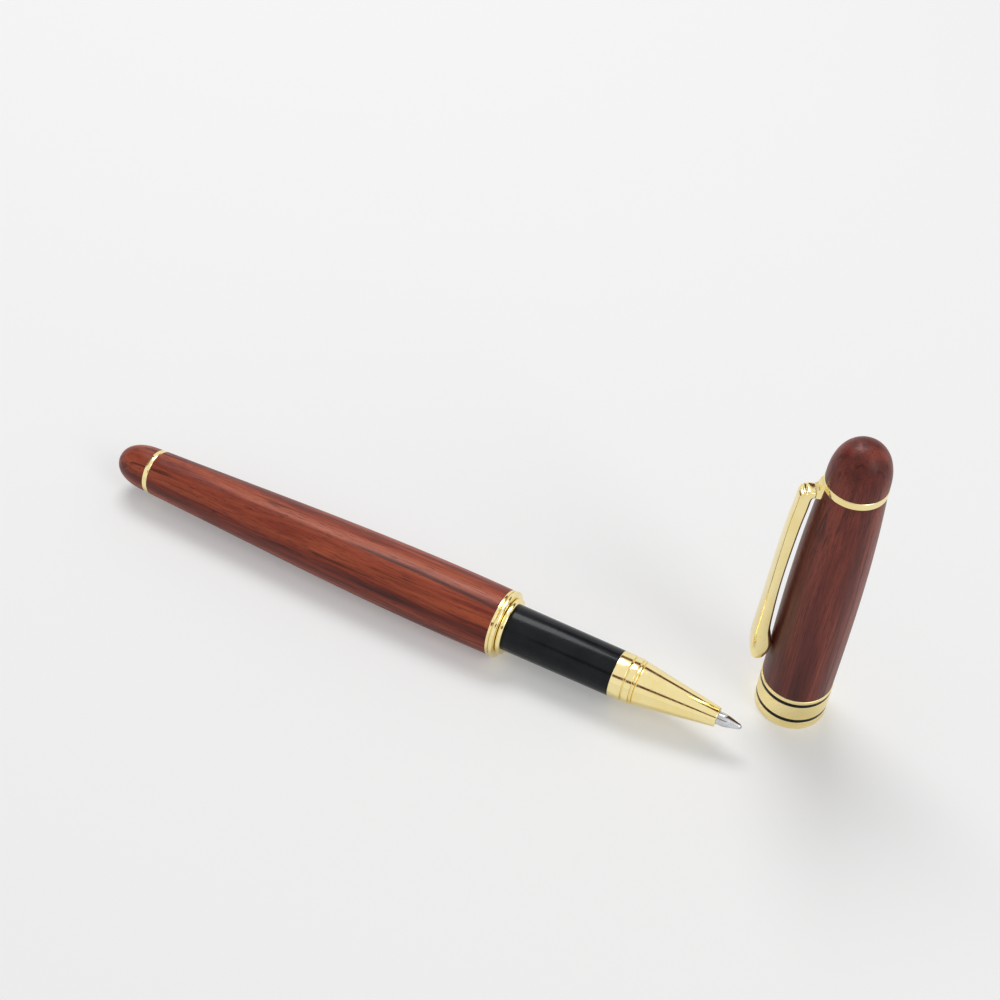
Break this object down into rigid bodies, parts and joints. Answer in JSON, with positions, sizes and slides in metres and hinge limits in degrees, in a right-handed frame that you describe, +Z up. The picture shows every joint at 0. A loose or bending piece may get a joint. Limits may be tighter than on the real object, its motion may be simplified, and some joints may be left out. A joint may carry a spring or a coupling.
{
  "type": "rollerball pen",
  "caption": "Rollerball pen with turned rosewood barrel, gold-plated fittings, black grip and a separate clip cap standing on its rim.",
  "frame": {"origin": "middle of the ground under the whole part, the lying pen and the standing cap together", "axes": "+X along the lying pen towards its writing tip, +Z up, +Y towards the side where the cap stands"},
  "size_m": [0.137, 0.0269, 0.0622],
  "materials": {
    "barrel_wood": "satin lacquered rosewood, grain along the pen",
    "cap_wood": "satin lacquered dark rosewood, grain along the cap",
    "polished_gold": "polished pale gold plate with fine handling marks",
    "satin_gold": "satin gold plate, fine lines round the band",
    "brass": "turned brass",
    "black_lacquer": "gloss black lacquer",
    "black_enamel": "gloss black inlay",
    "black_plastic": "matte",
    "white_plastic": "semi-matte",
    "ink_fibre": "ink-soaked fibre",
    "spring_steel": "drawn wire",
    "refill_steel": "satin",
    "tip_steel": "polished turned steel",
    "ball_carbide": "polished"
  },
  "bodies": {
    "barrel": {"barrel_sleeve": "barrel_wood", "barrel_tube": "brass", "barrel_socket": "brass", "centre_ring": "polished_gold", "rear_ring": "polished_gold", "end_plug": "brass", "rear_finial": "barrel_wood", "refill_spring": "spring_steel"},
    "refill": {"refill_tube": "refill_steel", "refill_plug": "white_plastic", "ink_reservoir": "ink_fibre", "refill_feeder": "white_plastic", "refill_tip": "tip_steel", "ink_wick": "ink_fibre"},
    "ball": {"writing_ball": "ball_carbide"},
    "section": {"section_tube": "brass", "section_ring": "polished_gold", "grip_sleeve": "black_lacquer", "front_ring": "polished_gold", "nose_cone": "polished_gold"},
    "cap": {"cap_band": "satin_gold", "cap_inlays": "black_enamel", "cap_snap_ring": "black_plastic", "cap_tube": "brass", "cap_sleeve": "cap_wood", "cap_liner": "black_plastic", "cap_plug": "brass", "cap_ring": "polished_gold", "cap_finial": "cap_wood"},
    "clip": {"clip": "polished_gold"}
  },
  "joints": [
    {"name": "section_advance", "type": "slide", "parent": "barrel", "child": "refill", "axis": [1, 0, 0], "range_m": [0, 0.006]},
    {"name": "section_turn", "type": "hinge", "parent": "refill", "child": "section", "pos_m": [0.0147, -0.00725, 0.0062], "axis": [1, 0, 0], "range_deg": [0, 1440]},
    {"name": "ball_roll", "type": "hinge", "parent": "refill", "child": "ball", "pos_m": [0.0575, -0.00725, 0.0062], "axis": [0, 1, 0], "continuous": true},
    {"name": "cap_lift", "type": "slide", "parent": "barrel", "child": "cap", "axis": [0, 0, 1], "range_m": [0, 0.07]},
    {"name": "clip_flex", "type": "hinge", "parent": "cap", "child": "clip", "pos_m": [0.05737, 0.00503, 0.0519], "axis": [-0.4067, 0.9135, 0], "range_deg": [0, 3], "stiffness_Nm_per_rad": 2, "springref_deg": -2.01}
  ],
  "couplings": [
    {"joint": "section_turn", "follows": "section_advance", "rad_per_m": 4188.8}
  ]
}
